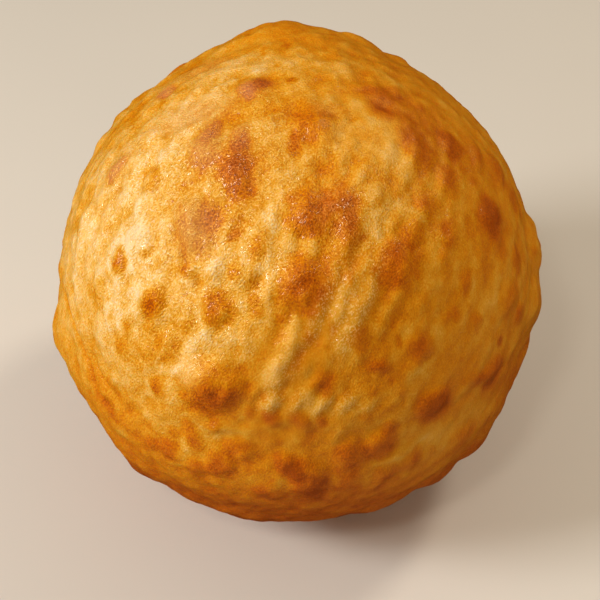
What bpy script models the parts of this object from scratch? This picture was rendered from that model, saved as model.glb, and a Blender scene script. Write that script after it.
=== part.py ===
"""Bhatura: a fried bread that has puffed up into one round ball.

The bread is one closed solid. Two skins of dough meet in a seam that runs nearly level round
the ball: a dome above, and below it a slightly wider bowl whose shoulder stands out on the left.
Steam has raised swellings and blisters all over, and the ball has settled on a small flat spot.

Metres, +Z up. The origin is on the flat spot, below the middle of the ball. The shown side faces
-Y and upwards. Rows of swellings are in millimetres and degrees.
"""

import math
from collections import namedtuple

import bmesh
import bpy
import numpy as np

MM = 0.001

# Driving dimensions of the ball
DOME_RADIUS = 67.4 * MM
BOWL_RADIUS = 69.7 * MM
FLAT_SPOT_RADIUS = 18.0 * MM

# The seam where the two skins meet, as a height over the middle of the ball, highest on the left
SEAM_HEIGHT = 7.0 * MM
SEAM_TILT = 4.5 * MM
SEAM_SWAY = 1.0 * MM

# On the left the seam is a deep crease with a lip over it, that dips and fades towards the front
DIP_DEPTH = 14.5 * MM
DIP_BEARING = math.radians(223)
DIP_SPREAD = math.radians(12)
FADE_BEARING = math.radians(240)
FADE_SPREAD = math.radians(17)
CREASE_DEPTH = 1.5 * MM
CREASE_HALF_WIDTH = 1.4 * MM
LIP_RISE = 0.6 * MM
LIP_OFFSET = 3.0 * MM
LIP_HALF_WIDTH = 2.2 * MM

# Under the seam the bowl steps out, and bulges in a shoulder round the left side
STEP_DROP = 12.0 * MM
STEP_HALF_WIDTH = 6.0 * MM
SHOULDER_RISE = 1.3 * MM
SHOULDER_DROP = 23.0 * MM
SHOULDER_HALF_WIDTH = 8.0 * MM
LEFT_BEARING = math.radians(188)
LEFT_SPREAD = math.radians(32)
STRENGTH_ELSEWHERE = 0.15

# The shown side is looked down on at this angle, from this far off the middle of the ball
LOOK_DOWN = math.radians(43)
LOOK_DISTANCE = 0.410
AIM_ROUNDS = 3

# Cells along each of the six square patches that cover the ball
PATCH_CELLS = 31

# Swellings on the hidden side, drawn at random from this seed
HIDDEN_SEED = 7
HIDDEN_SWELLINGS = 46
HIDDEN_WIDTHS = (8.0, 19.0)
HIDDEN_RISE_SHARE = 0.085

# Crust colour and finish
CRUST_COLOUR = (0.62, 0.30, 0.065, 1.0)
CRUST_ROUGHNESS = 0.5

# How a swelling rises from its edge: a higher power gives it a softer foot
SWELL_POWER = 1.6
BLISTER_POWER = 1.25

# A swelling: its place across and up from the middle of the shown side, its width and length
# along the crust, the lean of its width from level, and how far it rises
Swelling = namedtuple("Swelling", "across up width length lean rise")

# Broad swells and hollows that give the ball its uneven outline, clockwise from the top
BROAD_SWELLS = [
    Swelling(1, 71, 52, 46, 0, 3.2),
    Swelling(-8, 73, 26, 26, 0, 1.9),
    Swelling(-24, 66, 30, 26, 0, 1.3),
    Swelling(19, 69, 13, 14, 0, 1.3),
    Swelling(71, 8, 24, 22, 0, 2.6),
    Swelling(70, -9, 26, 20, 0, 2.3),
    Swelling(64, -27, 24, 26, 0, -3.4),
    Swelling(53, -50, 16, 16, 0, 1.5),
    Swelling(41, -60, 20, 16, 0, 1.7),
    Swelling(24, -68, 30, 20, 0, 1.3),
    Swelling(0, -71, 26, 20, 0, 0.8),
    Swelling(-16, -71, 26, 20, 0, 1.7),
    Swelling(-31, -66, 24, 20, 0, 1.4),
    Swelling(-47, -55, 40, 34, 0, 2.2),
    Swelling(-70, -16, 22, 20, 0, 2.2),
    Swelling(-30, -36, 34, 24, 20, 0.9),
    Swelling(24, 30, 60, 18, 55, 0.8),
    Swelling(-6, -18, 56, 16, 62, 0.3),
    Swelling(17, -10, 44, 14, 66, 0.5),
]

# Blisters of the shown side that are wide enough to feel with a finger
BLISTERS = [
    Swelling(-27, 36, 10, 12, 0, 1.3),
    Swelling(-18, 31, 10, 15, 10, 1.6),
    Swelling(-13, 54, 11, 11, 30, 1.1),
    Swelling(4, 44, 12, 14, 0, 1.3),
    Swelling(23, 52, 10, 11, 0, 0.9),
    Swelling(29, 63, 10, 10, 0, 0.9),
    Swelling(34, 36, 11, 12, 0, 1.0),
    Swelling(29, 44, 9, 10, 0, 0.7),
    Swelling(44, 38, 9, 9, 0, 0.8),
    Swelling(51, 35, 9, 12, 0, 0.8),
    Swelling(57, 31, 9, 12, 0, 0.9),
    Swelling(-45, 52, 9, 10, 0, 0.9),
    Swelling(-52, 46, 9, 10, 0, 1.0),
    Swelling(-57, 39, 8, 10, 0, 0.8),
    Swelling(-61, 14, 9, 14, 0, 0.8),
    Swelling(-30, 14, 14, 16, 0, 1.9),
    Swelling(2, 19, 13, 13, 0, 1.3),
    Swelling(12, 20, 10, 12, 0, 0.8),
    Swelling(1, -3, 14, 14, 0, 2.1),
    Swelling(28.5, 4.5, 12, 14, 8, 1.4),
    Swelling(43, 28, 8, 10, 0, 0.8),
    Swelling(56, 15.5, 11, 15, 0, 1.3),
    Swelling(62, 22, 10, 10, 0, 0.8),
    Swelling(-42, -7, 9, 11, 0, 1.6),
    Swelling(-59, -5, 9, 9, 0, 0.5),
    Swelling(-38, -21, 8, 8, 0, 0.8),
    Swelling(-24, -10, 9, 11, 0, 1.5),
    Swelling(-25.5, -31.5, 20, 18, -8, 2.8),
    Swelling(35, -21, 9, 9, 0, 0.6),
    Swelling(39, -37, 12, 12, 0, 1.4),
    Swelling(61, -7, 12, 11, 0, 1.2),
    Swelling(56, -28, 10, 9, 0, 1.0),
    Swelling(-23, -54.5, 8, 14, -30, 1.1),
    Swelling(-3.2, -55, 8, 10, 0, 1.0),
    Swelling(3, -59.6, 12, 18, 0, 1.5),
    Swelling(15, -51.8, 11, 13, 0, 1.3),
    Swelling(23.5, -48.6, 9, 11, 0, 1.2),
    Swelling(46, -48, 10, 12, 0, 0.8),
    Swelling(-37.7, -50, 7, 8, 0, 0.7),
]


def unit(vector):
    """The vector at length one."""
    return vector / np.linalg.norm(vector)


def turned_from(directions, bearing):
    """Angle round the ball from a bearing, between minus and plus half a turn."""
    return np.angle(np.exp(1j * (np.arctan2(directions[:, 1], directions[:, 0]) - bearing)))


def level_below_seam(directions):
    """Distance below the seam's mean line, which tilts to the left and sways by two sines."""
    bearing = np.arctan2(directions[:, 1], directions[:, 0])
    sway = np.sin(3 * bearing + 0.6) + 0.5 * np.sin(7 * bearing + 2.1)
    tilt = np.cos(turned_from(directions, LEFT_BEARING))
    return SEAM_HEIGHT + SEAM_TILT * tilt + SEAM_SWAY * sway - directions[:, 2] * DOME_RADIUS


def seam_line(directions):
    """Distance below the dipping seam, and how marked its crease and the shoulder are, 0 to 1."""
    dip = DIP_DEPTH * np.exp(-(turned_from(directions, DIP_BEARING) / DIP_SPREAD) ** 2)
    bell = np.exp(-(turned_from(directions, LEFT_BEARING) / LEFT_SPREAD) ** 2)
    strength = STRENGTH_ELSEWHERE + (1 - STRENGTH_ELSEWHERE) * bell
    fade = np.exp(-(turned_from(directions, FADE_BEARING) / FADE_SPREAD) ** 2)
    return level_below_seam(directions) - dip, strength * (1 - fade), strength


def shell_radius(directions):
    """Radius of the skins: a smooth step from dome to bowl, the shoulder, and the creased seam."""
    below_mean = level_below_seam(directions)
    below_seam, crease_strength, shoulder_strength = seam_line(directions)
    step = 0.5 + 0.5 * np.tanh((below_mean - STEP_DROP) / STEP_HALF_WIDTH)
    shoulder = np.exp(-((below_mean - SHOULDER_DROP) / SHOULDER_HALF_WIDTH) ** 2)
    crease = np.exp(-(below_seam / CREASE_HALF_WIDTH) ** 2)
    lip = np.exp(-((below_seam + LIP_OFFSET) / LIP_HALF_WIDTH) ** 2)
    radius = DOME_RADIUS + (BOWL_RADIUS - DOME_RADIUS) * step
    radius += shoulder_strength * SHOULDER_RISE * shoulder
    return radius + crease_strength * (LIP_RISE * lip - CREASE_DEPTH * crease)


LINE_OF_SIGHT = np.array([0.0, -math.cos(LOOK_DOWN), math.sin(LOOK_DOWN)])
ACROSS = np.array([1.0, 0.0, 0.0])
UP = np.array([0.0, math.sin(LOOK_DOWN), math.cos(LOOK_DOWN)])


def seen_direction(across, up):
    """Direction from the middle of the ball to the crust that is seen at (across, up).

    The line of sight from the eye through that point of the upright plane is carried on to a ball,
    whose radius is set in a few rounds to the skins' own radius there. Where the line passes the
    ball, the nearest point of the outline is taken.
    """
    eye = LINE_OF_SIGHT * LOOK_DISTANCE
    ray = unit((ACROSS * across + UP * up) * MM - eye)
    nearest = -eye.dot(ray)
    miss_squared = LOOK_DISTANCE ** 2 - nearest ** 2
    radius = DOME_RADIUS
    for _ in range(AIM_ROUNDS):
        half_chord = math.sqrt(max(radius ** 2 - miss_squared, 0.0))
        direction = unit(eye + ray * (nearest - half_chord))
        radius = shell_radius(direction[None])[0]
    return direction


def dome_height(directions, centre, width, length, lean, power):
    """Height, 0 to 1, of a soft oval dome round a centre direction.

    The oval's two axes lie along the crust. The dome is (1 - t squared) to a power, with t running
    from 0 at its middle to 1 at its edge.
    """
    level = unit(np.cross(UP, centre))
    rising = np.cross(centre, level)
    along = math.cos(lean) * level + math.sin(lean) * rising
    beside = -math.sin(lean) * level + math.cos(lean) * rising
    t_along = directions @ along * DOME_RADIUS / (width / 2)
    t_beside = directions @ beside * DOME_RADIUS / (length / 2)
    inside = np.clip(1 - t_along ** 2 - t_beside ** 2, 0, 1)
    return np.where(directions @ centre > 0, inside ** power, 0)


def hidden_swellings():
    """Centres, sizes, leans and rises of the swellings that the shown side doesn't reach.

    They lie along an even spiral round the ball, each drawn a little aside.
    """
    draw = np.random.default_rng(HIDDEN_SEED)
    golden_angle = math.pi * (3 - math.sqrt(5))
    spiral_steps = 2 * HIDDEN_SWELLINGS
    rows = []
    for step in range(spiral_steps):
        height = 1 - 2 * (step + 0.5) / spiral_steps
        reach = math.sqrt(1 - height ** 2)
        turn = step * golden_angle
        spot = np.array([reach * math.cos(turn), reach * math.sin(turn), height])
        centre = unit(spot + draw.normal(0, 0.07, 3))
        width, length = draw.uniform(*HIDDEN_WIDTHS, 2) * MM
        lean = draw.uniform(0, math.pi)
        rise = HIDDEN_RISE_SHARE * min(width, length) * draw.uniform(0.6, 1.2)
        if centre.dot(LINE_OF_SIGHT) < 0.12:
            rows.append((centre, width, length, lean, rise))
    return rows


def crust_points(directions):
    """Points of the crust: the shell's radius plus every swelling's rise, along each direction."""
    radius = shell_radius(directions)
    for rows, power in (BROAD_SWELLS, SWELL_POWER), (BLISTERS, BLISTER_POWER):
        for row in rows:
            centre = seen_direction(row.across, row.up)
            size = row.width * MM, row.length * MM
            radius += row.rise * MM * dome_height(directions, centre, *size, math.radians(row.lean), power)
    for centre, width, length, lean, rise in hidden_swellings():
        radius += rise * dome_height(directions, centre, width, length, lean, BLISTER_POWER)
    return directions * radius[:, None]


def settle_on_floor(points):
    """Stand the ball on Z = 0, with all that would sink below it pressed flat."""
    floor = -math.sqrt(BOWL_RADIUS ** 2 - FLAT_SPOT_RADIUS ** 2)
    points[:, 2] = np.maximum(points[:, 2] - floor, 0)
    return points


def crust_material():
    """Golden fried crust, slightly oily."""
    material = bpy.data.materials.new("fried_crust")
    material.use_nodes = True
    shader = material.node_tree.nodes["Principled BSDF"]
    shader.inputs["Base Color"].default_value = CRUST_COLOUR
    shader.inputs["Roughness"].default_value = CRUST_ROUGHNESS
    shader.inputs["Metallic"].default_value = 0.0
    return material


def bhatura():
    """The whole bread: a cube divided into even cells, blown up into the crust's shape."""
    shape = bmesh.new()
    bmesh.ops.create_cube(shape, size=2)
    bmesh.ops.subdivide_edges(shape, edges=shape.edges, cuts=PATCH_CELLS - 1, use_grid_fill=True)
    mesh = bpy.data.meshes.new("bhatura")
    shape.to_mesh(mesh)
    shape.free()

    corners = np.empty(len(mesh.vertices) * 3)
    mesh.vertices.foreach_get("co", corners)
    even_cells = np.tan(corners.reshape(-1, 3) * math.pi / 4)
    directions = even_cells / np.linalg.norm(even_cells, axis=1)[:, None]
    points = settle_on_floor(crust_points(directions))
    mesh.vertices.foreach_set("co", points.ravel())
    mesh.update()
    mesh.shade_smooth()
    mesh.materials.append(crust_material())

    bread = bpy.data.objects.new("bhatura", mesh)
    bpy.context.scene.collection.objects.link(bread)
    return bread


for old in list(bpy.data.objects):
    bpy.data.objects.remove(old)

bhatura()
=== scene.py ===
import math
from collections import namedtuple

import bmesh
import bpy
import numpy as np
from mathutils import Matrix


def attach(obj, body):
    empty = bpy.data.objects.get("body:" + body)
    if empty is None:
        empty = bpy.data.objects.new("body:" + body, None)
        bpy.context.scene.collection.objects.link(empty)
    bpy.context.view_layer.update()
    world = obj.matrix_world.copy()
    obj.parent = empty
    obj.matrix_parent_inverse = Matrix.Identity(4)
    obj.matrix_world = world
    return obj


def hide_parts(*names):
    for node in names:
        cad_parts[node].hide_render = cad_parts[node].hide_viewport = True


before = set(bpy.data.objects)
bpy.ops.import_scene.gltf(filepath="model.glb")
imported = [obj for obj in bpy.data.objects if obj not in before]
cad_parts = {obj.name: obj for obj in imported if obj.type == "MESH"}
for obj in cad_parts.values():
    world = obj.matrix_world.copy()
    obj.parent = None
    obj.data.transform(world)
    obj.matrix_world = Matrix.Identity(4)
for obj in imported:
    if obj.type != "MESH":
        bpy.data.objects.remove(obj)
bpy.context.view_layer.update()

# The ball of dough. A disc of leavened dough is rolled out and slid into hot oil, where steam
# parts it into two skins and blows it up: a dome above, a slightly wider bowl below. It is made
# as six square patches that close into one ball, each a surface of two parameters.
MM = 0.001
DOME_RADIUS = 67.4 * MM
BOWL_RADIUS = 69.7 * MM
FLAT_SPOT_RADIUS = 18.0 * MM
PATCH_CELLS = 128
MERGE_DISTANCE = 0.01 * MM
FLOOR_DROP = math.sqrt(BOWL_RADIUS ** 2 - FLAT_SPOT_RADIUS ** 2)


def unit(vector):
    """The vector at length one."""
    return vector / np.linalg.norm(vector)


def patch_directions(face_turn):
    """Directions over one patch: across and along it each run evenly in angle from -45 to 45 degrees."""
    step = np.tan(np.linspace(-math.pi / 4, math.pi / 4, PATCH_CELLS + 1))
    across, along = np.meshgrid(step, step, indexing="ij")
    facing_out = np.stack([across, along, np.ones_like(across)], -1).reshape(-1, 3)
    turned = facing_out @ face_turn.T
    return turned / np.linalg.norm(turned, axis=1)[:, None]


def patch_turns():
    """The six turns that carry a patch from the top of the ball to its top, bottom and four sides."""
    x, y, z = np.eye(3)
    sides = [(x, y), (y, -x), (-x, -y), (-y, x)]
    turns = [np.column_stack([x, y, z]), np.column_stack([x, -y, -z])]
    return turns + [np.column_stack([beside, z, out]) for out, beside in sides]


ball_directions = np.concatenate([patch_directions(turn) for turn in patch_turns()])

# The seam where the two skins meet. It runs nearly level round the ball, a little above the
# middle. On the left it is a deep crease that dips and fades towards the front. Under it the bowl
# steps out and bulges in a shoulder round the left side, so that the dome seems to sit inside it.
SEAM_HEIGHT = 7.0 * MM
SEAM_TILT = 4.5 * MM
SEAM_SWAY = 1.0 * MM
SWAY_WAVES = [(3, 0.6, 1.0), (7, 2.1, 0.5)]
DIP_DEPTH = 14.5 * MM
DIP_BEARING = math.radians(223)
DIP_SPREAD = math.radians(12)
FADE_BEARING = math.radians(240)
FADE_SPREAD = math.radians(17)
CREASE_DEPTH = 1.5 * MM
CREASE_HALF_WIDTH = 1.4 * MM
LIP_RISE = 0.6 * MM
LIP_OFFSET = 3.0 * MM
LIP_HALF_WIDTH = 2.2 * MM
CREASE_DARKENING = 0.30
CREASE_DARKENING_HALF_WIDTH = 1.3 * CREASE_HALF_WIDTH
STEP_DROP = 12.0 * MM
STEP_HALF_WIDTH = 6.0 * MM
SHOULDER_RISE = 1.3 * MM
SHOULDER_DROP = 23.0 * MM
SHOULDER_HALF_WIDTH = 8.0 * MM
LEFT_BEARING = math.radians(188)
LEFT_SPREAD = math.radians(32)
STRENGTH_ELSEWHERE = 0.15


def turned_from(directions, bearing):
    """Angle round the ball from a bearing, between minus and plus half a turn."""
    return np.angle(np.exp(1j * (np.arctan2(directions[:, 1], directions[:, 0]) - bearing)))


def level_below_seam(directions):
    """Distance below the seam's mean line, which tilts to the left and sways by a sum of sines.

    Each sine has its own count of waves round the ball, phase and share.
    """
    bearing = np.arctan2(directions[:, 1], directions[:, 0])
    sway = sum(share * np.sin(count * bearing + phase) for count, phase, share in SWAY_WAVES)
    tilt = np.cos(turned_from(directions, LEFT_BEARING))
    return SEAM_HEIGHT + SEAM_TILT * tilt + SEAM_SWAY * sway - directions[:, 2] * DOME_RADIUS


def seam_line(directions):
    """Distance below the dipping seam, and how marked its crease and the shoulder are, 0 to 1."""
    dip = DIP_DEPTH * np.exp(-(turned_from(directions, DIP_BEARING) / DIP_SPREAD) ** 2)
    bell = np.exp(-(turned_from(directions, LEFT_BEARING) / LEFT_SPREAD) ** 2)
    strength = STRENGTH_ELSEWHERE + (1 - STRENGTH_ELSEWHERE) * bell
    fade = np.exp(-(turned_from(directions, FADE_BEARING) / FADE_SPREAD) ** 2)
    return level_below_seam(directions) - dip, strength * (1 - fade), strength


def shell_radius(directions):
    """Radius of the skins: a smooth step from dome to bowl, the shoulder, and the creased seam."""
    below_mean = level_below_seam(directions)
    below_seam, crease_strength, shoulder_strength = seam_line(directions)
    step = 0.5 + 0.5 * np.tanh((below_mean - STEP_DROP) / STEP_HALF_WIDTH)
    shoulder = np.exp(-((below_mean - SHOULDER_DROP) / SHOULDER_HALF_WIDTH) ** 2)
    crease = np.exp(-(below_seam / CREASE_HALF_WIDTH) ** 2)
    lip = np.exp(-((below_seam + LIP_OFFSET) / LIP_HALF_WIDTH) ** 2)
    radius = DOME_RADIUS + (BOWL_RADIUS - DOME_RADIUS) * step
    radius += shoulder_strength * SHOULDER_RISE * shoulder
    return radius + crease_strength * (LIP_RISE * lip - CREASE_DEPTH * crease)


# Swells and blisters. Steam under the skin lifts broad swells and, where the dough is thin, blisters
# that brown first. They are laid as ovals on the shown side, each where one line of sight meets it.
LOOK_DOWN = math.radians(43)
LOOK_DISTANCE = 0.410
CROSSING_STEPS = 3
LINE_OF_SIGHT = np.array([0.0, -math.cos(LOOK_DOWN), math.sin(LOOK_DOWN)])
ACROSS = np.array([1.0, 0.0, 0.0])
UP = np.array([0.0, math.sin(LOOK_DOWN), math.cos(LOOK_DOWN)])

# Each row is one oval: its place across and up from the middle, its width and length along the
# crust and its rise in millimetres, and its lean in degrees. Then come shares of one: how much
# browner it is than the crust around it, or paler if below zero, its pinkish painted sheen, the oil
# that it soaked up, and its painted glints: pale flecks painted on the grain's tops, where the oil
# coat is also thicker.
ROW_PLACE = ["across", "up", "width", "length", "lean", "rise"]
ROW_LOOKS = ["brown", "bloom", "soaked", "flecks"]
Swelling = namedtuple("Swelling", ROW_PLACE + ROW_LOOKS, defaults=[0] * len(ROW_LOOKS))

BROAD_SWELLS = [
    Swelling(1, 71, 52, 46, 0, 3.2),
    Swelling(-8, 73, 26, 26, 0, 1.9),
    Swelling(-24, 66, 30, 26, 0, 1.3),
    Swelling(19, 69, 13, 14, 0, 1.3),
    Swelling(71, 8, 24, 22, 0, 2.6),
    Swelling(70, -9, 26, 20, 0, 2.3),
    Swelling(64, -27, 24, 26, 0, -3.4),
    Swelling(53, -50, 16, 16, 0, 1.5),
    Swelling(41, -60, 20, 16, 0, 1.7),
    Swelling(24, -68, 30, 20, 0, 1.3),
    Swelling(0, -71, 26, 20, 0, 0.8),
    Swelling(-16, -71, 26, 20, 0, 1.7),
    Swelling(-31, -66, 24, 20, 0, 1.4),
    Swelling(-47, -55, 40, 34, 0, 2.2),
    Swelling(-70, -16, 22, 20, 0, 2.2),
    Swelling(-30, -36, 34, 24, 20, 0.9),
    Swelling(24, 30, 60, 18, 55, 0.8),
    Swelling(-6, -18, 56, 16, 62, 0.3),
    Swelling(17, -10, 44, 14, 66, 0.5),
]

LARGE_BLISTERS = [
    Swelling(29, 63, 10, 10, 0, 0.9, 0.05),
    Swelling(-13, 54, 11, 11, 30, 1.1, 0.12, bloom=0.15),
    Swelling(-45, 52, 9, 10, 0, 0.9, 0.10),
    Swelling(23, 52, 10, 11, 0, 0.9, 0.12),
    Swelling(-52, 46, 9, 10, 0, 1, 0.15),
    Swelling(4, 44, 12, 14, 0, 1.3, 0.24),
    Swelling(29, 44, 9, 10, 0, 0.7, 0.14),
    Swelling(-57, 39, 8, 10, 0, 0.8, 0.05),
    Swelling(44, 38, 9, 9, 0, 0.8, 0.20),
    Swelling(-27, 36, 10, 12, 0, 1.3, 0.24, bloom=0.5),
    Swelling(34, 36, 11, 12, 0, 1, 0.26),
    Swelling(51, 35, 9, 12, 0, 0.8, 0.15),
    Swelling(-18, 31, 10, 15, 10, 1.6, 0.36),
    Swelling(57, 31, 9, 12, 0, 0.9, 0.22),
    Swelling(43, 28, 8, 10, 0, 0.8, 0.25),
    Swelling(62, 22, 10, 10, 0, 0.8, 0.15),
    Swelling(12, 20, 10, 12, 0, 0.8, 0.12),
    Swelling(2, 19, 13, 13, 0, 1.3, 0.36),
    Swelling(56, 15.5, 11, 15, 0, 1.3, 0.10),
    Swelling(-61, 14, 9, 14, 0, 0.8, -0.10),
    Swelling(-30, 14, 14, 16, 0, 1.9, 0.16, bloom=0.5),
    Swelling(28.5, 4.5, 12, 14, 8, 1.4, 0.20),
    Swelling(1, -3, 14, 14, 0, 2.1, 0.34),
    Swelling(-59, -5, 9, 9, 0, 0.5, 0.20),
    Swelling(-42, -7, 9, 11, 0, 1.6, 0.10),
    Swelling(61, -7, 12, 11, 0, 1.2, 0.12),
    Swelling(-24, -10, 9, 11, 0, 1.5, 0.38),
    Swelling(-38, -21, 8, 8, 0, 0.8, 0.16),
    Swelling(35, -21, 9, 9, 0, 0.6, 0.30),
    Swelling(56, -28, 10, 9, 0, 1, 0.16),
    Swelling(-25.5, -31.5, 20, 18, -8, 2.8, 0.26),
    Swelling(39, -37, 12, 12, 0, 1.4, 0.30),
    Swelling(46, -48, 10, 12, 0, 0.8, 0.16),
    Swelling(23.5, -48.6, 9, 11, 0, 1.2, 0.30),
    Swelling(-37.7, -50, 7, 8, 0, 0.7, 0.28),
    Swelling(15, -51.8, 11, 13, 0, 1.3, 0.25),
    Swelling(-23, -54.5, 8, 14, -30, 1.1, 0.24),
    Swelling(-3.2, -55, 8, 10, 0, 1, 0.28),
    Swelling(3, -59.6, 12, 18, 0, 1.5, 0.28),
]

# Small blisters of the shown side. Those without a rise are patches of colour with a crisp edge.
SMALL_BLISTERS = [
    Swelling(-2.5, 56.5, 5, 4, 0, 0.4, 0.24),
    Swelling(-11.5, 54.8, 4.5, 6, 30, 0, 0.32),
    Swelling(-38.5, 53, 5, 6, 0, 0.4, 0.21, bloom=0.6),
    Swelling(-15, 52.5, 5, 6, 30, 0, 0.30, bloom=0.5),
    Swelling(23, 47, 7, 7, 0, 0.4, 0.25),
    Swelling(-25.5, 42, 7, 8, 0, 0.6, 0.26, bloom=0.3),
    Swelling(-17, 40, 7, 9, 0, 0.5, 0.20, bloom=0.3),
    Swelling(-1, 38, 5, 7, 0, 0.4, 0.22),
    Swelling(-52, 31, 5, 11, -30, 0.4, 0.31, bloom=0.5),
    Swelling(-43, 28.4, 4, 4, 0, 0, -0.24),
    Swelling(-43, 28, 7, 7, 0, 0.5, 0.34),
    Swelling(12, 22, 8, 8, 0, 0.4, 0.07),
    Swelling(37, 21, 7, 7, 0, 0.4, 0.18),
    Swelling(55, 17, 9, 12, 0, 0, 0.26),
    Swelling(-25, 16.5, 5, 12, 10, 0, 0.08),
    Swelling(28, 15, 5, 6, 0, 0.4, 0.12),
    Swelling(15, 13, 7, 8, 0, 0.5, 0.25),
    Swelling(-18.5, 12, 4, 4, 0, 0.25, 0.25),
    Swelling(33, 12, 6, 7, 0, 0.5, 0.16),
    Swelling(43.5, 12, 6, 8, 0, 0.5, 0.16),
    Swelling(-12, 8, 4.5, 9, -20, 0.3, 0.28),
    Swelling(-44, 7, 4, 4, 0, 0.25, 0.20),
    Swelling(-52.8, 5.8, 3.4, 4, -15, 0, -0.44),
    Swelling(63, 5, 7, 7, 0, 0.5, 0.21),
    Swelling(-52, 4.8, 6.2, 7.2, -15, 0.9, 0.60),
    Swelling(42.5, 4.5, 5, 9, 0, 0.4, 0.18),
    Swelling(53, 2, 7, 12, 0, 0.4, 0.12),
    Swelling(-32, 1.2, 4, 4, 0, 0.3, 0.28),
    Swelling(-18.5, 1, 4, 5, 0, 0.3, 0.31),
    Swelling(-14, -1, 4, 5, 0, 0.3, 0.14),
    Swelling(48.5, -2.5, 3.5, 6, 0, 0.3, 0.20),
    Swelling(-42, -7.3, 7.5, 9, -15, 0, 0.34),
    Swelling(-12.5, -9, 5, 5, 0, 0.35, 0.25),
    Swelling(64, -11, 6, 7, 0, 0.5, 0.21),
    Swelling(-5, -12, 4, 4, 0, 0.3, 0.20),
    Swelling(45.5, -12, 4, 4, 0, 0.3, 0.14),
    Swelling(51, -14, 5, 6, 0, 0.3, 0.12),
    Swelling(-50, -15, 4, 5, 0, 0.3, 0.20),
    Swelling(-31, -15.5, 4, 4, 0, 0.25, 0.17),
    Swelling(17, -18, 6, 7, 0, 0.4, 0.21),
    Swelling(58.5, -19.5, 3, 4, 0, 0.3, 0.35),
    Swelling(-51.5, -20, 5, 9, 15, 0.5, 0.22),
    Swelling(-43, -23, 5, 7, 0, 0.4, 0.16),
    Swelling(24, -26, 6, 5, 0, 0.45, 0.20),
    Swelling(51.5, -30, 8, 6, 0, 0.5, 0.16),
    Swelling(6.5, -31.5, 6, 7, 0, 0.4, 0.25),
    Swelling(-40.5, -32, 5.5, 6, 0, 0.5, 0.36),
    Swelling(-25.5, -36, 15, 9, -8, 0, 0.13),
    # The dark spots just under the lip, from (-13, -40) to (7.1, -41.7), are partly browning and partly
    # painted shade beneath the lip's knobs
    Swelling(-13, -40, 3.8, 4.5, 0, 0.4, 0.18),
    Swelling(-7.4, -41, 4.5, 7, 0, 0.7, 0.28),
    Swelling(20, -41, 5, 5, 0, 0.4, 0.14),
    Swelling(0, -41.7, 5.5, 4.5, 0, 0.4, 0.18),
    Swelling(7.1, -41.7, 3.8, 5, 0, 0.4, 0.26),
    Swelling(-24.4, -43.4, 4.5, 4, 0, 0.4, 0.28),
    Swelling(26.5, -43.5, 4.5, 5, 0, 0.4, 0.26),
    Swelling(-52, -45, 6, 6, 0, 0.5, -0.14),
    Swelling(-36, -45, 5, 5, 0, 0.4, 0.21),
    Swelling(-31, -46, 6, 10, 0, 0.6, 0.26),
    Swelling(-42.5, -48, 4.5, 6, 0, 0.4, 0.24),
    Swelling(-16.6, -50.7, 9, 8, -30, 0.8, 0.22),
    Swelling(33, -53, 7, 9, 0, 0.6, 0.20),
    Swelling(-30, -56, 6, 9, 0, 0.5, 0.20),
    Swelling(25, -58, 7, 10, 0, 0.6, 0.20),
    Swelling(14.5, -60, 6, 9, 0, 0.5, 0.20),
    Swelling(-9.5, -62.5, 9, 11, 0, 0.8, 0.18),
]

# Creases and ridges: long narrow folds where the skin stretched unevenly. Their colour is painted
# light and shade: the ridges and the lip's knobs are paler, painted light on their tops, along with
# painted glints; the creases and the hollow at (-0.5, -25) are browner, painted shade; and the pale
# stripe at (-7, -27) is painted light on the lit flank of the ridge beside it.
FOLDS = [
    Swelling(-63, 14, 14, 3.2, 80, -0.5, 0.14),
    Swelling(18, -9, 26, 5, 66, 0.5, -0.08, flecks=0.7),
    Swelling(6.5, -10, 24, 6, 70, 0.7, -0.08, flecks=0.7),
    Swelling(12.5, -11, 26, 6, 83, 0.5, -0.08, flecks=0.6),
    Swelling(-16, -21, 12, 5, 64, 0.4, -0.05, flecks=0.4),
    Swelling(-0.5, -25, 20, 5, 64, 0, 0.07),
    Swelling(-7, -27, 24, 5, 64, 0, -0.10),
    Swelling(-5, -27.5, 26, 8, 64, 0.45, flecks=0.4),
    Swelling(-57, -29, 24, 3.6, -63, -0.9, 0.16),
    Swelling(-8.5, -36.5, 5.5, 9, -10, 1.1, -0.12, flecks=0.4),
    Swelling(-0.8, -37, 4.5, 9, -15, 0.9, -0.10, flecks=0.4),
    Swelling(13.5, -37, 5, 8, -15, 0.6, -0.10, flecks=0.5),
    Swelling(6.6, -37.5, 4.5, 9, -15, 0.9, -0.12, flecks=0.5),
    Swelling(20, -38, 6, 5, 0, 0.4, -0.05, flecks=0.3),
    Swelling(-20, -44, 24, 4, -2, 0.5, -0.10),
    Swelling(30, -51, 22, 5, 38, 0.5, -0.10),
]

# Patches of painted glints: pale flecks painted on the grain's tops, where the oil coat also lies thickest
PAINTED_GLINT_PATCHES = [
    Swelling(6, 49, 12, 6, -35, 0, flecks=0.3),
    Swelling(-14, 38, 30, 20, 40, 0, flecks=0.2),
    Swelling(-2.5, 23, 5, 7, 0, 0, flecks=0.3),
    Swelling(11, 21, 16, 20, 0, 0, flecks=0.2),
    Swelling(-18, 14.5, 12, 8, 60, 0, flecks=0.3),
    Swelling(20, 8, 24, 10, 70, 0, flecks=0.25),
    Swelling(11, 4, 22, 6, 72, 0, 0.05, flecks=0.2),
    Swelling(-8, 3, 14, 9, 64, 0, -0.06, flecks=0.4),
]

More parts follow.
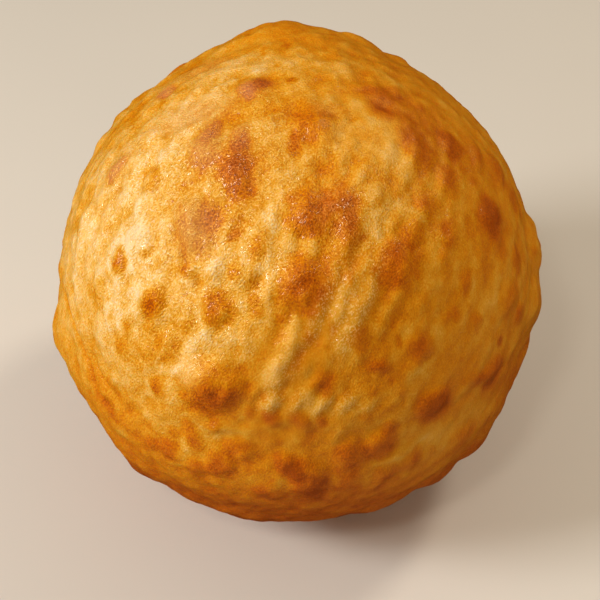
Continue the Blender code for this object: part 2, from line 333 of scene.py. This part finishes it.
# Broad shades: crust that browned more, or less, than the crust around it, or soaked up oil
BROWNER_CRUST = [
    Swelling(-29, 60, 24, 12, 30, 0, 0.10, bloom=0.2),
    Swelling(14, 56, 60, 30, 0, 0, 0.06),
    Swelling(-20, 48, 24, 12, 0, 0, 0.08),
    Swelling(-5, 48, 18, 12, 0, 0, 0.06),
    Swelling(-52, 44, 30, 14, 45, 0, 0.16),
    Swelling(34, 44, 44, 16, -48, 0, 0.15),
    Swelling(-23, 35, 28, 30, 0, 0, 0.10, bloom=0.05),
    Swelling(-27, 34, 28, 20, 0, 0, 0.08),
    Swelling(-19, 33, 20, 26, 0, 0, 0.14),
    Swelling(-52, 31, 14, 20, -20, 0, 0.10, bloom=0.2),
    Swelling(-37, 30, 16, 13, 0, 0, 0.12),
    Swelling(-27, 26, 26, 24, 0, 0, 0.05),
    Swelling(-36, 19, 20, 14, 0, 0, 0.06),
    Swelling(-19, 19, 14, 12, 0, 0, 0.17),
    Swelling(8, 19, 28, 22, 0, 0, 0.10),
    Swelling(-64, 18, 16, 22, 0, 0, 0.09),
    Swelling(9, 17, 16, 14, 0, 0, 0.06),
    Swelling(55, 15, 22, 26, 0, 0, 0.14),
    Swelling(-30, 14, 22, 22, 0, 0, 0.05),
    Swelling(10, 5, 14, 18, 0, 0, 0.08),
    Swelling(9, 4, 18, 14, 0, 0, 0.10),
    Swelling(-49, 3, 16, 14, 0, 0, 0.08),
    Swelling(29, 2, 14, 22, 0, 0, 0.08),
    Swelling(-1, 1, 10, 10, 0, 0, 0.08),
    Swelling(-34, -10, 16, 12, 0, 0, 0.06),
    Swelling(24, -10, 16, 16, 0, 0, 0.09),
    Swelling(9, -11, 18, 14, 0, 0, 0.06),
    Swelling(24, -12, 40, 16, 55, 0, 0.05),
    Swelling(-46, -24, 30, 20, 0, 0, 0.10),
    Swelling(-18, -24, 30, 20, 60, 0, 0.06),
    Swelling(24, -26, 18, 16, 0, 0, 0.15),
    Swelling(55, -29, 30, 18, 0, 0, 0.18),
    Swelling(-55, -35, 22, 44, 30, 0, 0.15),
    Swelling(-24, -36, 30, 20, -10, 0, 0.06),
    Swelling(39, -37, 22, 20, 0, 0, 0.10),
    Swelling(-36, -39, 24, 12, 0, 0, 0.08),
    Swelling(25, -39, 12, 10, 0, 0, 0.04),
    Swelling(-14, -52, 40, 18, 0, 0, 0.07),
    Swelling(-5, -54, 18, 14, 0, 0, 0.11),
    Swelling(5, -62, 30, 16, 0, 0, 0.04),
]

PALER_CRUST = [
    Swelling(-12, 62, 60, 16, 0, 0, -0.17),
    Swelling(26, 57, 10, 12, 0, 0, -0.16),
    Swelling(12, 50, 34, 10, -30, 0, -0.10),
    Swelling(40, 50, 26, 14, -45, 0, -0.05),
    Swelling(-34, 49, 26, 14, 20, 0, -0.08),
    Swelling(-32, 47, 26, 14, 20, 0, -0.03, bloom=0.5),
    Swelling(-38, 37, 11, 8, 30, 0, -0.10),
    Swelling(24, 35, 26, 12, -40, 0, -0.14),
    Swelling(26, 34, 18, 14, -40, 0, -0.07),
    Swelling(-38, 30, 44, 40, 0, 0, -0.03),
    Swelling(-28, 25.5, 10, 6, 20, 0, -0.12),
    Swelling(-49.5, 25, 12, 9, 30, 0, -0.10),
    Swelling(-5, 19, 10, 16, 0, 0, -0.14),
    Swelling(24, 18, 20, 12, 80, 0, -0.19),
    Swelling(-57, 15, 9, 12, 20, 0, -0.06),
    Swelling(-52, 6, 34, 44, 0, 0, -0.06),
    Swelling(53, -3, 20, 32, 0, 0, -0.09),
    Swelling(-5, -10, 16, 14, 0, 0, -0.08),
    Swelling(-18, -22, 40, 16, 30, 0, -0.04),
    Swelling(-36, -24, 16, 14, 0, 0, -0.06),
    Swelling(-31, -26, 12, 10, 20, 0, -0.10, bloom=0.3),
    Swelling(-20, -38, 12, 10, 0, 0, -0.09),
    Swelling(10, -39, 26, 8, 0, 0, -0.09),
    Swelling(-19, -40, 10, 8, 0, 0, -0.06),
    # Paler towards the lower right: painted light, standing for light bounced up from below
    Swelling(38, -50, 50, 34, 40, 0, -0.15),
]

SOAKED_CRUST = [
    Swelling(20, 48, 44, 30, -30, 0, soaked=0.35),
    Swelling(12, -8, 40, 20, 66, 0, soaked=0.4),
    Swelling(34, -12, 40, 30, 60, 0, -0.06, soaked=0.3),
    Swelling(-6, -26, 56, 34, 60, 0, 0.05, soaked=0.5),
    Swelling(-8, -44, 50, 14, 0, 0, 0.06, soaked=0.4),
]


def seen_direction(across, up):
    """Direction to the crust that is seen at (across, up): where that line of sight meets the skins.

    The nearer crossing of the line and a ball is found, then found again with the skins' own radius.
    """
    eye = LINE_OF_SIGHT * LOOK_DISTANCE
    ray = unit((ACROSS * across + UP * up) * MM - eye)
    nearest = -eye.dot(ray)
    radius = DOME_RADIUS
    for _ in range(CROSSING_STEPS):
        half_chord = math.sqrt(max(radius ** 2 - LOOK_DISTANCE ** 2 + nearest ** 2, 0.0))
        direction = unit(eye + ray * (nearest - half_chord))
        radius = shell_radius(direction[None])[0]
    return direction


def oval(places, centre, width, length, lean):
    """The places near an oval on the crust, and t of each: 0 at the oval's middle, 1 at its edge.

    The oval's two axes lie along the crust. The third result says how much a place lies to the
    oval's lower right, from 1 there to -1 at the upper left.
    """
    reach = min(max(width, length) / DOME_RADIUS, math.pi / 2)
    near = np.flatnonzero(places @ centre > math.cos(reach))
    level = unit(np.cross(UP, centre))
    rising = np.cross(centre, level)
    right, up = places[near] @ level * DOME_RADIUS, places[near] @ rising * DOME_RADIUS
    along = (math.cos(lean) * right + math.sin(lean) * up) / (width / 2)
    beside = (math.cos(lean) * up - math.sin(lean) * right) / (length / 2)
    lower_right = (right - up) / np.maximum(np.hypot(right, up) * math.sqrt(2), MERGE_DISTANCE)
    return near, np.hypot(along, beside), lower_right


def add_dome(field, height, near, t, power):
    """Add a soft dome to a field: height times (1 - t squared) to a power."""
    field[near] += height * np.clip(1 - t ** 2, 0, 1) ** power


def add_ring(field, height, near, t, middle, half_width, share=1.0):
    """Add a bell-shaped ring round an oval to a field, times a share at each place."""
    field[near] += height * share * np.exp(-((t - middle) / half_width) ** 2)


RIPPLE_WAVES = 40
PITCH_SPREAD = (0.75, 1.35)


def ripples(pitch, seed, drawn_out=1.0):
    """A smooth random field of about one pitch over the ball, of spread one.

    It is a sum of plane sine waves in random directions, whose lengths vary round the pitch. Along
    the lean of the folds they can be drawn out to some times that length.
    """
    draw = np.random.default_rng(seed)
    field = np.zeros(len(ball_directions))
    for _ in range(RIPPLE_WAVES):
        pull = unit(draw.normal(0, 1, 3)) * 2 * math.pi / (pitch * draw.uniform(*PITCH_SPREAD))
        pull -= FOLD_DIRECTION * pull.dot(FOLD_DIRECTION) * (1 - 1 / drawn_out)
        field += np.sin(ball_directions @ pull * DOME_RADIUS + draw.uniform(0, 2 * math.pi))
    return field * math.sqrt(2 / RIPPLE_WAVES)


# The ovals come out uneven: each place of the ball is drawn a little aside before they are laid.
FOLD_LEAN = math.radians(64)
FOLD_DIRECTION = ACROSS * math.cos(FOLD_LEAN) + UP * math.sin(FOLD_LEAN)
UNEVEN_PITCH = 9 * MM
UNEVEN_REACH = 0.45 * MM
UNEVEN_SEED = 100

aside = np.stack([ripples(UNEVEN_PITCH, UNEVEN_SEED + axis) for axis in range(3)], -1)
uneven = ball_directions + aside * UNEVEN_REACH / DOME_RADIUS
uneven /= np.linalg.norm(uneven, axis=1)[:, None]

# The crust is palest round one place on the left and browns with the angle from there. Its grain
# and lumps fade with the angle from a place nearby. The underside lay in the oil longest.
PALEST_PLACE = (-52, 8)
ROUGHEST_PLACE = (-34, 18)
PALEST_BROWN = 0.20
FAR_BROWN = 0.51
FAR_ANGLE = math.radians(85)
GRAIN_LOST = 0.7
UNDERSIDE_BROWN = 0.33
UNDERSIDE_FROM = -8 * MM
UNDERSIDE_DEPTH = 45 * MM


def smooth_step(t):
    """Rise from 0 to 1 over t from 0 to 1, level at both ends."""
    t = np.clip(t, 0, 1)
    return t * t * (3 - 2 * t)


from_palest = np.arccos(np.clip(ball_directions @ seen_direction(*PALEST_PLACE), -1, 1))
crust_brown = PALEST_BROWN + (FAR_BROWN - PALEST_BROWN) * smooth_step(from_palest / FAR_ANGLE)
below_middle = -ball_directions[:, 2] * DOME_RADIUS
crust_brown += UNDERSIDE_BROWN * smooth_step((below_middle - UNDERSIDE_FROM) / UNDERSIDE_DEPTH)
crust_radius = shell_radius(ball_directions)
from_roughest = np.arccos(np.clip(ball_directions @ seen_direction(*ROUGHEST_PLACE), -1, 1))
crust_grain = 1 - GRAIN_LOST * smooth_step(from_roughest / FAR_ANGLE)
crust_painted_sheen = np.zeros(len(ball_directions))
crust_soaked = np.zeros(len(ball_directions))
crust_painted_glints = np.zeros(len(ball_directions))

below_seam, crease_strength, _ = seam_line(ball_directions)
# Darker along the seam's crease
crust_brown += CREASE_DARKENING * crease_strength * np.exp(-(below_seam / CREASE_DARKENING_HALF_WIDTH) ** 2)

# A blister browns; its browning is shifted a little to its lower right, away from the light, and is darkest
# at the edge there, which is painted shade. It is paler just round it.
SWELL_POWER = 1.6
BLISTER_POWER = 1.25
BROWN_POWER = 0.95
BROWN_OVER_RISE = 1.15
BROWN_SHIFT_INTO_SHADE = 0.04
LOWER_RIGHT_EDGE_SHADE = 0.20
EDGE_HALF_WIDTH = 0.16
HALO_PALE = 0.13
HALO_MIDDLE = 1.25
HALO_HALF_WIDTH = 0.20


def raise_oval(row, power):
    """Raise a row's dome, lay painted sheen, soak and painted glints on its browned oval, which is shifted
    a little into painted shade, and give that oval's places.
    """
    width, length, lean = row.width * MM, row.length * MM, math.radians(row.lean)
    near, t, _ = oval(uneven, seen_direction(row.across, row.up), width, length, lean)
    add_dome(crust_radius, row.rise * MM, near, t, power)
    # The browned oval is shifted a little to the lower right, away from the light: painted shade
    centre = seen_direction(row.across + BROWN_SHIFT_INTO_SHADE * row.width, row.up - BROWN_SHIFT_INTO_SHADE * row.length)
    browned = oval(uneven, centre, width * BROWN_OVER_RISE, length * BROWN_OVER_RISE, lean)
    near, t, _ = browned
    add_dome(crust_painted_sheen, row.bloom, near, t, power)
    add_dome(crust_soaked, row.soaked, near, t, power)
    add_dome(crust_painted_glints, row.flecks, near, t, power)
    return browned


def brown_blister(brown, near, t, lower_right):
    """Brown a blister: a dome, a darker ring at its edge on the lower right, which is painted shade, and a
    pale ring outside.
    """
    edge_share = np.clip(lower_right, 0, 1)
    add_dome(crust_brown, brown, near, t, BROWN_POWER)
    # Painted shade: a darker ring on the lower-right edge, away from the light
    add_ring(crust_brown, LOWER_RIGHT_EDGE_SHADE * brown, near, t, 1 - EDGE_HALF_WIDTH, EDGE_HALF_WIDTH, edge_share)
    add_ring(crust_brown, -HALO_PALE * brown, near, t, HALO_MIDDLE, HALO_HALF_WIDTH)


for row in LARGE_BLISTERS + SMALL_BLISTERS:
    brown_blister(row.brown, *raise_oval(row, BLISTER_POWER))
for row in BROAD_SWELLS + FOLDS + PAINTED_GLINT_PATCHES + BROWNER_CRUST + PALER_CRUST + SOAKED_CRUST:
    near, t, _ = raise_oval(row, SWELL_POWER)
    add_dome(crust_brown, row.brown, near, t, SWELL_POWER)
crust_grain *= 1 - np.minimum(crust_soaked, 1)

# The side that isn't shown has blisters of the same kinds, drawn at random along an even spiral.
HIDDEN_SEED = 7
SPIRAL_STEPS = 92
SPIRAL_TURN = math.pi * (3 - math.sqrt(5))
SPIRAL_SCATTER = 0.07
HIDDEN_WIDTHS = (8.0, 19.0)
HIDDEN_RISE_SHARE = 0.085
HIDDEN_RISE_SPREAD = (0.6, 1.2)
HIDDEN_BROWN = (0.03, 0.32)
SHOWN_FROM = 0.12

draw = np.random.default_rng(HIDDEN_SEED)
brown_draw = np.random.default_rng(HIDDEN_SEED + 1)
for step in range(SPIRAL_STEPS):
    height = 1 - 2 * (step + 0.5) / SPIRAL_STEPS
    reach = math.sqrt(1 - height ** 2)
    turn = step * SPIRAL_TURN
    spot = np.array([reach * math.cos(turn), reach * math.sin(turn), height])
    centre = unit(spot + draw.normal(0, SPIRAL_SCATTER, 3))
    width, length = draw.uniform(*HIDDEN_WIDTHS, 2) * MM
    lean = draw.uniform(0, math.pi)
    rise = HIDDEN_RISE_SHARE * min(width, length) * draw.uniform(*HIDDEN_RISE_SPREAD)
    if centre.dot(LINE_OF_SIGHT) < SHOWN_FROM:
        near, t, lower_right = oval(uneven, centre, width, length, lean)
        add_dome(crust_radius, rise, near, t, BLISTER_POWER)
        brown_blister(brown_draw.uniform(*HIDDEN_BROWN), near, t, lower_right)

# Everywhere the skin is lumpy and folded: bubbles too small to name push it up, mostly in short
# ridges that lean one way. Each row is a pitch, a rise, and how far the lumps are drawn out.
LUMPS = [
    (22.0 * MM, 0.20 * MM, 1.3),
    (9.0 * MM, 0.26 * MM, 1.9),
    (5.0 * MM, 0.21 * MM, 1.8),
    (3.0 * MM, 0.12 * MM, 1.5),
]
# Painted light and shade on the lumps: their tops paler and their hollows browner
LUMP_PAINTED_LIGHT_AND_SHADE = 0.035
LUMPS_LOST = 0.65
LUMPS_SEED = 200

lumpy = 1 - LUMPS_LOST * smooth_step(from_roughest / FAR_ANGLE)
for count, (pitch, rise, drawn_out) in enumerate(LUMPS):
    lumps = ripples(pitch, LUMPS_SEED + count, drawn_out)
    crust_radius += rise * lumps * lumpy
    # Painted light on the lumps' tops and painted shade in their hollows
    crust_brown -= LUMP_PAINTED_LIGHT_AND_SHADE * lumps * lumpy

# Bubbles, and freckles of browner crust, where another such field rises over a level
BUBBLE_PITCH = 5.2 * MM
BUBBLE_RISE = 0.20 * MM
BUBBLE_BROWN = 0.05
BUBBLE_SEED = 300
FRECKLE_PITCH = 3.4 * MM
FRECKLE_BROWN = 0.06
FRECKLE_SEED = 310
LEVEL = 0.9
CLOUD_PITCH = 8 * MM
CLOUD_BROWN = 0.025
CLOUD_SEED = 320
PATCHES_DRAWN_OUT = 1.4

bubbles = np.clip(ripples(BUBBLE_PITCH, BUBBLE_SEED) - LEVEL, 0, None)
freckles = np.clip(ripples(FRECKLE_PITCH, FRECKLE_SEED, PATCHES_DRAWN_OUT) - LEVEL, 0, None)
clouds = ripples(CLOUD_PITCH, CLOUD_SEED, PATCHES_DRAWN_OUT)
crust_radius += BUBBLE_RISE * bubbles * lumpy
crust_brown += BUBBLE_BROWN * bubbles + FRECKLE_BROWN * freckles + CLOUD_BROWN * clouds

# Fried crust. The starch has set into fine grains, pale on their tops and deeper orange between,
# which is partly their own colour and partly painted shade; painted shade also darkens the colour in
# the pits between them and lightens it on their tops. The crust darkens from cream through gold to
# brown as it fries. A thin film of oil lies over it.
CRUST_SHADES = [
    (0.00, (0.95, 0.71, 0.40)),
    (0.12, (0.91, 0.575, 0.195)),
    (0.25, (0.84, 0.455, 0.088)),
    (0.38, (0.75, 0.342, 0.021)),
    (0.50, (0.70, 0.255, 0.003)),
    (0.62, (0.63, 0.188, 0.001)),
    (0.75, (0.56, 0.13, 0.001)),
    (0.88, (0.45, 0.088, 0.001)),
    (1.00, (0.36, 0.062, 0.001)),
]
# Painted sheen: a pinkish colour mixed in where the mesh marks it, standing for a sheen on the blisters
PAINTED_SHEEN_COLOUR = (0.66, 0.36, 0.20, 1)
PAINTED_SHEEN_SHARE = 0.5
UNSOAKED_TINT = (1, 1, 1, 1)
SOAKED_TINT = (0.82, 0.78, 0.60, 1)
# Painted glints: the pale colour painted on the grain's tops
PAINTED_GLINT_COLOUR = (1.0, 0.70, 0.32, 1)
GLOSS_TINT = (1.0, 0.74, 0.20, 1)

# Grain: fine and coarse grains, longer along the folds than they are wide
FINE_PITCH = 0.40 * MM
FINE_SHARE = 1.4
COARSE_PITCH = 0.7 * MM
COARSE_SHARE = 0.6
GRAIN_SLIMNESS = 0.6
GRAIN_CONTRAST = 0.62
GRAIN_DEPTH = 0.32 * MM
# Painted shade and light: the colour darkened in the pits between the grains and lightened on their tops,
# more as the crust browns
PITTED_BROWNING = (0.30, 0.75)
PAINTED_PIT_SHADE = 0.8
# Painted glints: the grain range they are painted over, and their largest share
TOP_GRAIN = (0.0, -0.35)
PAINTED_GLINT_SHARE = 0.75

# Mottle: uneven browning between the grains and the patches, stronger where the grain is rough
MOTTLE_PITCH = 2.6 * MM
MOTTLE_SLIMNESS = 0.7
MOTTLE_CONTRAST = 0.12
MOTTLE_WITH_GRAIN = 0.30

# Roughness, lower where the grain is rough, because more oil stays there, and higher in the pits
ROUGHNESS = 0.55
ROUGHNESS_WITH_GRAIN = -0.33
ROUGHNESS_IN_PITS = 0.2

# Oil: it lies in small drops, on the rough grain and the painted glints above all, over a rippled film
DROP_PITCH = 1.2 * MM
DROP_EDGE = (0.49, 0.60)
OIL_ELSEWHERE = -0.08
OIL_WITH_GRAIN = 0.55
OIL_ON_PAINTED_GLINTS = 1.2
FILM_PITCH = 0.85 * MM
FILM_DEPTH = 0.50 * MM


class Finish:
    """A material being built node by node."""

    def __init__(self, name):
        self.material = bpy.data.materials.new(name)
        self.material.use_nodes = True
        self.tree = self.material.node_tree
        self.shader = self.tree.nodes["Principled BSDF"]
        self.place = self.node("ShaderNodeTexCoord", {}).outputs["Object"]

    def feed(self, node, inputs):
        """Link each input of a node to another node's output, or set it to a plain value."""
        for socket, value in inputs.items():
            if isinstance(value, bpy.types.NodeSocket):
                self.tree.links.new(value, node.inputs[socket])
            else:
                node.inputs[socket].default_value = value

    def node(self, kind, inputs, **settings):
        """A node with its settings made and its inputs fed."""
        made = self.tree.nodes.new(kind)
        for name, value in settings.items():
            setattr(made, name, value)
        self.feed(made, inputs)
        return made

    def product(self, first, second):
        """first * second."""
        return self.node("ShaderNodeMath", {0: first, 1: second}, operation="MULTIPLY").outputs[0]

    def sum(self, first, second, weight=1.0):
        """first + second * weight."""
        inputs = {0: second, 1: weight, 2: first}
        return self.node("ShaderNodeMath", inputs, operation="MULTIPLY_ADD").outputs[0]

    def rescaled(self, value, ends, most):
        """A straight rise from 0 to the most as the value goes from one end to the other."""
        inputs = {0: value, 1: ends[0], 2: ends[1], 3: 0.0, 4: most}
        return self.node("ShaderNodeMapRange", inputs).outputs[0]

    def noise(self, pitch, detail, slimness=1.0):
        """Smooth noise, 0 to 1, with features one pitch wide whose width is slimness times length.

        Their length lies along the folds.
        """
        turn = (0, math.pi / 2 - FOLD_LEAN, 0)
        laid = {"Vector": self.place, "Rotation": turn, "Scale": (pitch, pitch, pitch / slimness)}
        place = self.node("ShaderNodeMapping", laid, vector_type="TEXTURE").outputs[0]
        inputs = {"Vector": place, "Scale": 1.0, "Detail": detail}
        return self.node("ShaderNodeTexNoise", inputs).outputs["Fac"]

    def mixed(self, share, first, second, way="MIX"):
        """Two colours blended by a share."""
        inputs = {0: share, 6: first, 7: second}
        return self.node("ShaderNodeMix", inputs, data_type="RGBA", blend_type=way).outputs[2]

    def bump(self, height, depth, strength):
        """The surface's facing, tilted as relief of height times depth would tilt it."""
        inputs = {"Strength": strength, "Distance": depth, "Height": height}
        return self.node("ShaderNodeBump", inputs).outputs[0]

    def reading(self, name):
        """The value that the mesh holds under that name."""
        return self.node("ShaderNodeAttribute", {}, attribute_name=name).outputs["Fac"]


def fried_crust():
    """Browning from the mesh, mottled and grained by noise, colours the crust, with painted sheen, painted
    glints and painted shade in the grain's pits; grain also roughens it.
    """
    crust = Finish("fried_crust")
    browning = crust.reading("browning")
    soaked = crust.reading("soaked")
    grainy = crust.reading("grain")
    painted_glint_places = crust.reading("flecks")

    fine = crust.noise(FINE_PITCH, 1.0, GRAIN_SLIMNESS)
    coarse = crust.noise(COARSE_PITCH, 2.0, GRAIN_SLIMNESS)
    grain = crust.sum(-(FINE_SHARE + COARSE_SHARE) / 2, fine, FINE_SHARE)
    grain = crust.sum(grain, coarse, COARSE_SHARE)
    shown = crust.product(grain, grainy)
    mottle = crust.sum(-0.5, crust.noise(MOTTLE_PITCH, 3.0, MOTTLE_SLIMNESS))
    brown = crust.sum(browning, shown, GRAIN_CONTRAST)
    brown = crust.sum(brown, mottle, crust.sum(MOTTLE_CONTRAST, grainy, MOTTLE_WITH_GRAIN))
    ramp = crust.node("ShaderNodeValToRGB", {"Fac": brown})
    stops = ramp.color_ramp.elements
    while len(stops) < len(CRUST_SHADES):
        stops.new(0.5)
    for stop, (place, shade) in zip(stops, CRUST_SHADES):
        stop.position = place
        stop.color = (*shade, 1)

    # Painted sheen mixed into the crust's colour
    with_painted_sheen = crust.mixed(crust.product(crust.reading("bloom"), PAINTED_SHEEN_SHARE), ramp.outputs[0], PAINTED_SHEEN_COLOUR)
    tint = crust.mixed(soaked, UNSOAKED_TINT, SOAKED_TINT)
    darkened = crust.mixed(1.0, with_painted_sheen, tint, "MULTIPLY")
    # Painted shade in the grain's pits, and painted light on its tops
    painted_pit_shade = crust.product(shown, crust.rescaled(browning, PITTED_BROWNING, PAINTED_PIT_SHADE))
    pit_shaded = crust.mixed(1.0, darkened, crust.sum(1.0, painted_pit_shade, -1.0), "MULTIPLY")
    # Painted glints: pale colour on the grain's tops where the mesh marks them
    flecks = crust.product(crust.rescaled(grain, TOP_GRAIN, PAINTED_GLINT_SHARE), painted_glint_places)

    rough = crust.sum(ROUGHNESS, grainy, ROUGHNESS_WITH_GRAIN)
    drops = crust.rescaled(crust.noise(DROP_PITCH, 1.0, GRAIN_SLIMNESS), DROP_EDGE, 1.0)
    oily = crust.sum(crust.sum(OIL_ELSEWHERE, grainy, OIL_WITH_GRAIN), painted_glint_places, OIL_ON_PAINTED_GLINTS)
    film = crust.noise(FILM_PITCH, 2.0, GRAIN_SLIMNESS)
    crust.feed(crust.shader, {
        "Base Color": crust.mixed(flecks, pit_shaded, PAINTED_GLINT_COLOUR),
        "Normal": crust.bump(crust.product(grain, -1.0), GRAIN_DEPTH, grainy),
        "Roughness": crust.sum(rough, grain, ROUGHNESS_IN_PITS),
        "Specular IOR Level": 0.5,
        "Specular Tint": GLOSS_TINT,
        "Coat Weight": crust.product(drops, oily),
        "Coat Normal": crust.bump(film, FILM_DEPTH, 1.0),
        "Coat Roughness": 0.10,
        "Coat IOR": 1.7,
        "Subsurface Weight": 0.22,
        "Subsurface Radius": (1.0, 0.35, 0.1),
        "Subsurface Scale": 1.0 * MM,
    })
    return crust.material


def bread_mesh():
    """The six patches sewn into one closed mesh, stood on the floor, with its looks kept on it."""
    points = ball_directions * crust_radius[:, None]
    points[:, 2] = np.maximum(points[:, 2] + FLOOR_DROP, 0)
    side = PATCH_CELLS + 1
    corner = np.arange(side * side).reshape(side, side)
    corners = [corner[:-1, :-1], corner[1:, :-1], corner[1:, 1:], corner[:-1, 1:]]
    cells = np.stack(corners, -1).reshape(-1, 4)
    faces = np.concatenate([cells + first for first in range(0, len(points), side * side)])
    mesh = bpy.data.meshes.new("bhatura_crust")
    mesh.from_pydata(points, [], faces)
    looks = {
        "browning": crust_brown,
        "bloom": crust_painted_sheen,
        "soaked": crust_soaked,
        "grain": crust_grain,
        "flecks": crust_painted_glints,
    }
    for name, values in looks.items():
        mesh.attributes.new(name, "FLOAT", "POINT").data.foreach_set("value", values)
    sewn = bmesh.new()
    sewn.from_mesh(mesh)
    bmesh.ops.remove_doubles(sewn, verts=sewn.verts, dist=MERGE_DISTANCE)
    bmesh.ops.recalc_face_normals(sewn, faces=sewn.faces)
    sewn.to_mesh(mesh)
    sewn.free()
    mesh.shade_smooth()
    return mesh


bread = bpy.data.objects.new("bhatura_crust", bread_mesh())
bpy.context.scene.collection.objects.link(bread)
bread.data.materials.append(fried_crust())
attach(bread, "root")
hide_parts("bhatura")

# The floor: a wide matt sheet, pale and slightly warm, faintly uneven in tone.
FLOOR_SIZE = 3.0
TONE_PITCH = 0.12
DARKER_TONE = (0.70, 0.67, 0.63, 1)
LIGHTER_TONE = (0.74, 0.71, 0.67, 1)


def pale_matt():
    """A pale warm grey whose tone drifts a little from place to place."""
    matt = Finish("pale_matt")
    tone = matt.mixed(matt.noise(TONE_PITCH, 3.0), DARKER_TONE, LIGHTER_TONE)
    matt.feed(matt.shader, {"Base Color": tone, "Roughness": 0.6})
    return matt.material


half = FLOOR_SIZE / 2
floor_corners = [(-half, -half, 0), (half, -half, 0), (half, half, 0), (-half, half, 0)]
floor_mesh = bpy.data.meshes.new("floor")
floor_mesh.from_pydata(floor_corners, [], [(0, 1, 2, 3)])
floor = bpy.data.objects.new("floor", floor_mesh)
bpy.context.scene.collection.objects.link(floor)
floor.data.materials.append(pale_matt())
floor.visible_glossy = False

# Studio light: a large soft panel on the left, a small one high in front, one high on the right
# behind, and a dim warm surround.
BALL_MIDDLE = np.array([0.0, 0.0, FLOOR_DROP])
PANEL_DISTANCE = 0.9
SURROUND_COLOUR = (1.0, 0.82, 0.60, 1)
SURROUND_STRENGTH = 0.36


def light_panel(name, bearing, height, size, power, colour):
    """A square panel that faces the ball from a bearing and a height angle, both in degrees."""
    bearing, height = math.radians(bearing), math.radians(height)
    level = math.cos(height)
    towards = np.array([math.cos(bearing) * level, math.sin(bearing) * level, math.sin(height)])
    panel = bpy.data.lights.new(name, "AREA")
    panel.size = size
    panel.energy = power
    panel.color = colour
    lamp = bpy.data.objects.new(name, panel)
    lamp.location = BALL_MIDDLE + towards * PANEL_DISTANCE
    lamp.rotation_euler = (math.pi / 2 - height, 0, bearing + math.pi / 2)
    bpy.context.scene.collection.objects.link(lamp)


light_panel("left_panel", 200, 35, 0.24, 5.55, (1.0, 0.97, 0.92))
light_panel("front_panel", 250, 54, 0.10, 1.0, (1.0, 0.92, 0.78))
light_panel("high_right_panel", 25, 58, 0.16, 2.4, (1.0, 0.88, 0.70))

surround = bpy.data.worlds.new("surround")
surround.use_nodes = True
background = surround.node_tree.nodes["Background"]
background.inputs["Color"].default_value = SURROUND_COLOUR
background.inputs["Strength"].default_value = SURROUND_STRENGTH
surround.cycles_visibility.glossy = False
bpy.context.scene.world = surround
bpy.context.scene.view_settings.view_transform = "Standard"

# The camera looks down on the shown side from the front.
LENS = 85.0
AIM_ACROSS = 0.6 * MM
AIM_BELOW = 7.2 * MM

camera_data = bpy.data.cameras.new("camera")
camera_data.lens = LENS
camera = bpy.data.objects.new("camera", camera_data)
camera_place = BALL_MIDDLE + LINE_OF_SIGHT * LOOK_DISTANCE
aim = BALL_MIDDLE + ACROSS * AIM_ACROSS - UP * AIM_BELOW
away = unit(aim - camera_place)
camera.location = camera_place
camera.rotation_euler = (math.pi / 2 + math.asin(away[2]), 0, math.atan2(-away[0], away[1]))
bpy.context.scene.collection.objects.link(camera)
bpy.context.scene.camera = camera
